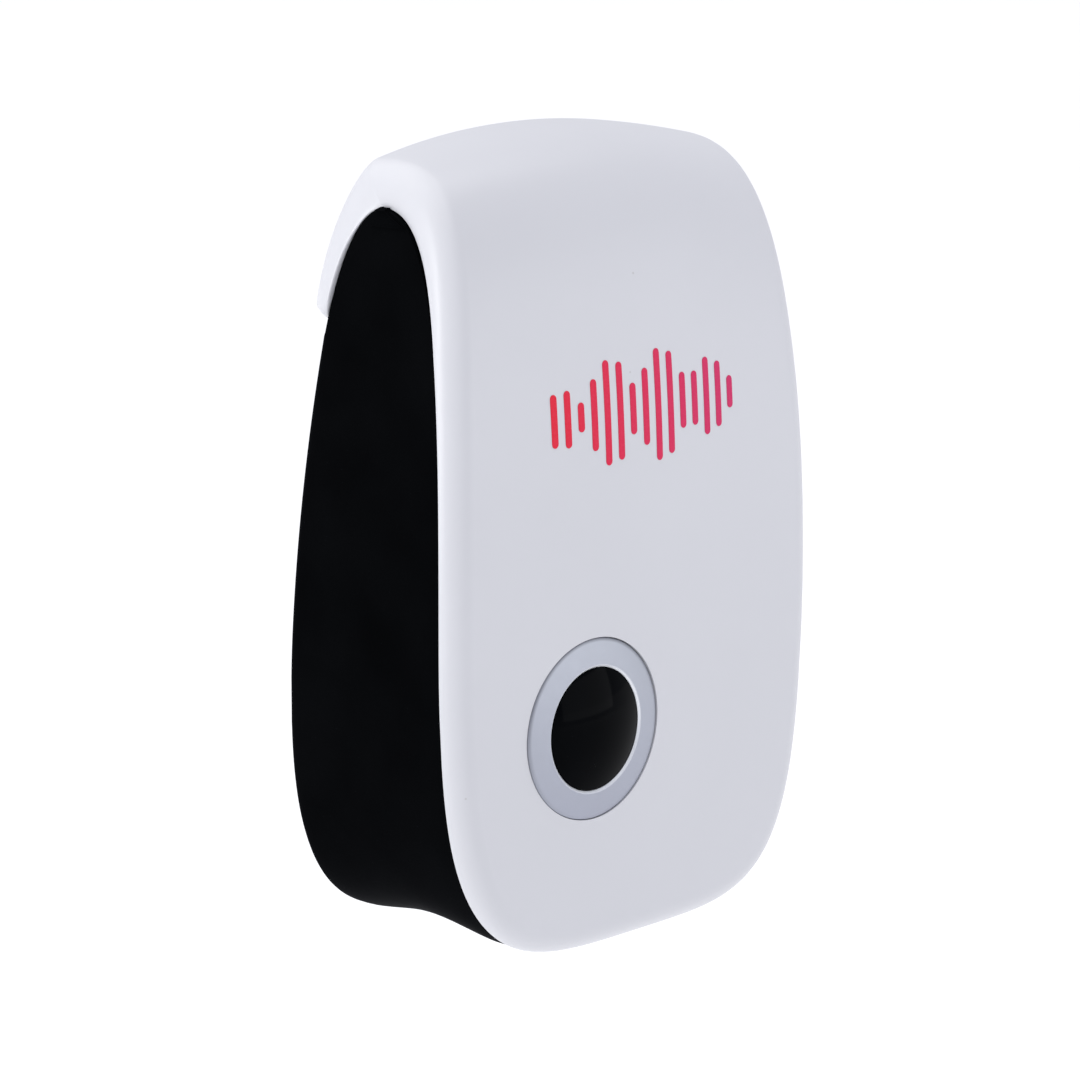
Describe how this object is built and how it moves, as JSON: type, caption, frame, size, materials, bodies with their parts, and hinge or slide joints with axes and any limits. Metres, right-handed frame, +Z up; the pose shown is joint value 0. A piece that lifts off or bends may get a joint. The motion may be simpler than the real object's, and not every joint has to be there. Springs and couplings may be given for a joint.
{
  "type": "ultrasonic pest repeller",
  "caption": "Wall-plug ultrasonic pest repeller: white cover bent over a black rear housing, tinted dome in a silver bezel at the front, flat-blade mains plug on the back.",
  "frame": {"origin": "midway between the plug's two blades, on the plug base's flat face that meets the wall", "axes": "+X to the viewer's right, +Y into the wall along the blades, +Z up"},
  "size_m": [0.068, 0.0546, 0.105],
  "materials": {
    "white_cover": "satin",
    "black_housing": "fine spark-eroded grain",
    "crimson_ink": "satin",
    "label_film": "satin",
    "silver_ring": "satin",
    "tinted_dome": "polished",
    "clear_plastic": "polished",
    "dark_plastic": "satin",
    "plug_plastic": "satin",
    "screw_steel": "zinc plated",
    "can_aluminium": "satin",
    "brass_plate": "satin",
    "tin_plate": "tinned",
    "soft_rubber": "matt",
    "red_wire": "satin",
    "black_wire": "satin",
    "brown_wire": "satin",
    "blue_wire": "satin",
    "board_laminate": "satin",
    "yellow_case": "gloss",
    "capacitor_sleeve": "gloss",
    "ferrite": "matt",
    "copper_wire": "enamelled",
    "black_epoxy": "matt",
    "resistor_coat": "satin",
    "disc_coat": "satin",
    "led_lens": "polished"
  },
  "bodies": {
    "root": {"front_cover": "white_cover", "rear_housing": "black_housing", "housing_screws": "screw_steel", "front_print": "crimson_ink", "rating_label": "label_film", "bezel_ring": "silver_ring", "dome_lens": "tinted_dome", "lens_retainer": "dark_plastic", "light_guide": "clear_plastic", "transducer_can": "can_aluminium", "transducer_cone": "can_aluminium", "piezo_disc": "brass_plate", "transducer_base": "dark_plastic", "transducer_pins": "tin_plate", "transducer_gasket": "soft_rubber", "transducer_lead_red": "red_wire", "transducer_lead_black": "black_wire", "circuit_board": "board_laminate", "board_screws": "screw_steel", "mains_capacitor": "yellow_case", "smoothing_capacitor": "capacitor_sleeve", "choke_core": "ferrite", "choke_winding": "copper_wire", "bridge_rectifier": "black_epoxy", "control_ic": "black_epoxy", "drive_transistors": "black_epoxy", "fusible_resistor": "resistor_coat", "resistors": "black_epoxy", "ceramic_capacitors": "disc_coat", "indicator_leds": "led_lens", "solder_joints": "tin_plate", "plug_base": "plug_plastic", "plug_blade_left": "brass_plate", "plug_blade_right": "brass_plate", "plug_retainer": "dark_plastic", "retainer_screws": "screw_steel", "mains_lead_brown": "brown_wire", "mains_lead_blue": "blue_wire"}
  },
  "joints": []
}
